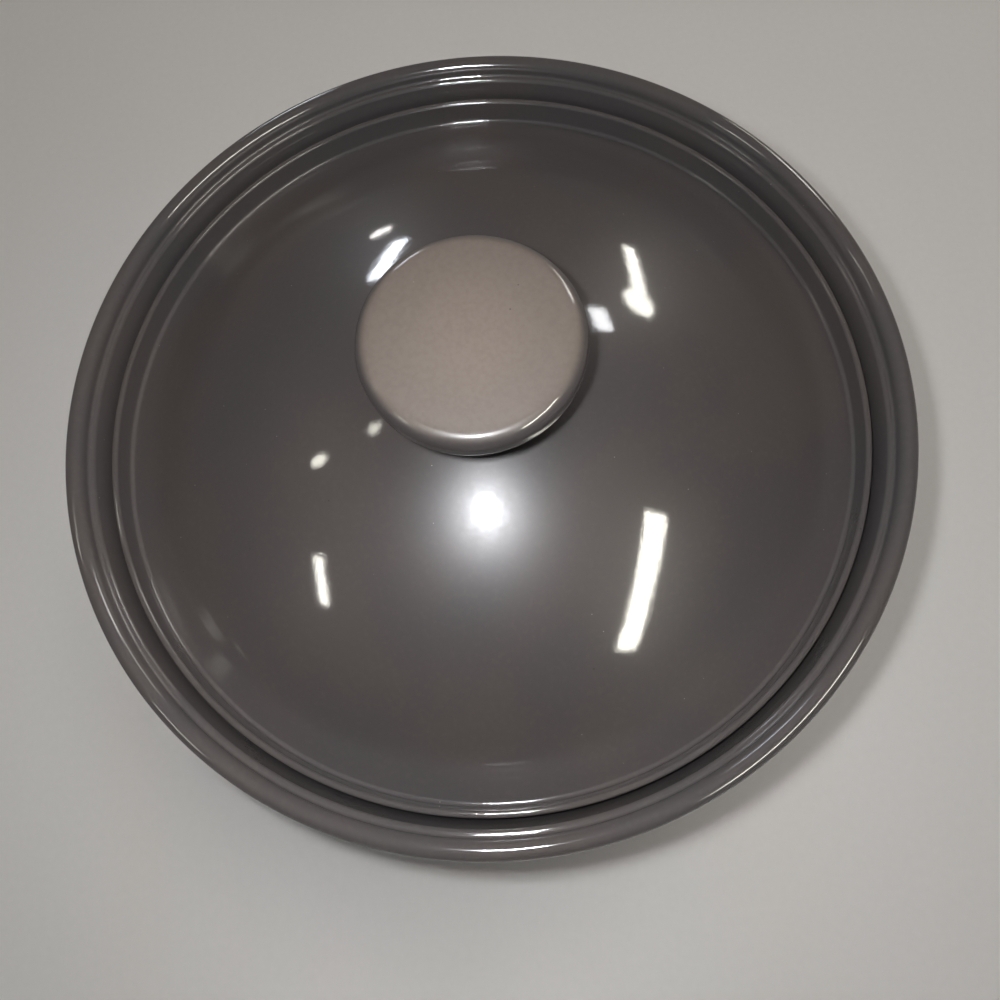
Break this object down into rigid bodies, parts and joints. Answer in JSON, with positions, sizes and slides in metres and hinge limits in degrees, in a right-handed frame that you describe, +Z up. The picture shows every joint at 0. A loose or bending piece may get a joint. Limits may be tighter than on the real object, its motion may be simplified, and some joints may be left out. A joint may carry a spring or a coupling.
{
  "type": "casserole dish",
  "caption": "Round stoneware casserole with a domed lid that nests inside its rolled rim and lifts by a flat disc knob.",
  "frame": {"origin": "middle of the foot ring's underside", "axes": "+Z up the axis of the dish, towards the lid's knob; the dish is round, so X and Y are free"},
  "size_m": [0.26, 0.26, 0.145],
  "materials": {
    "dish_glaze": "glossy dark taupe glaze",
    "lid_glaze": "glossy dark taupe glaze"
  },
  "bodies": {
    "root": {"dish": "dish_glaze", "lid": "lid_glaze"}
  },
  "joints": []
}
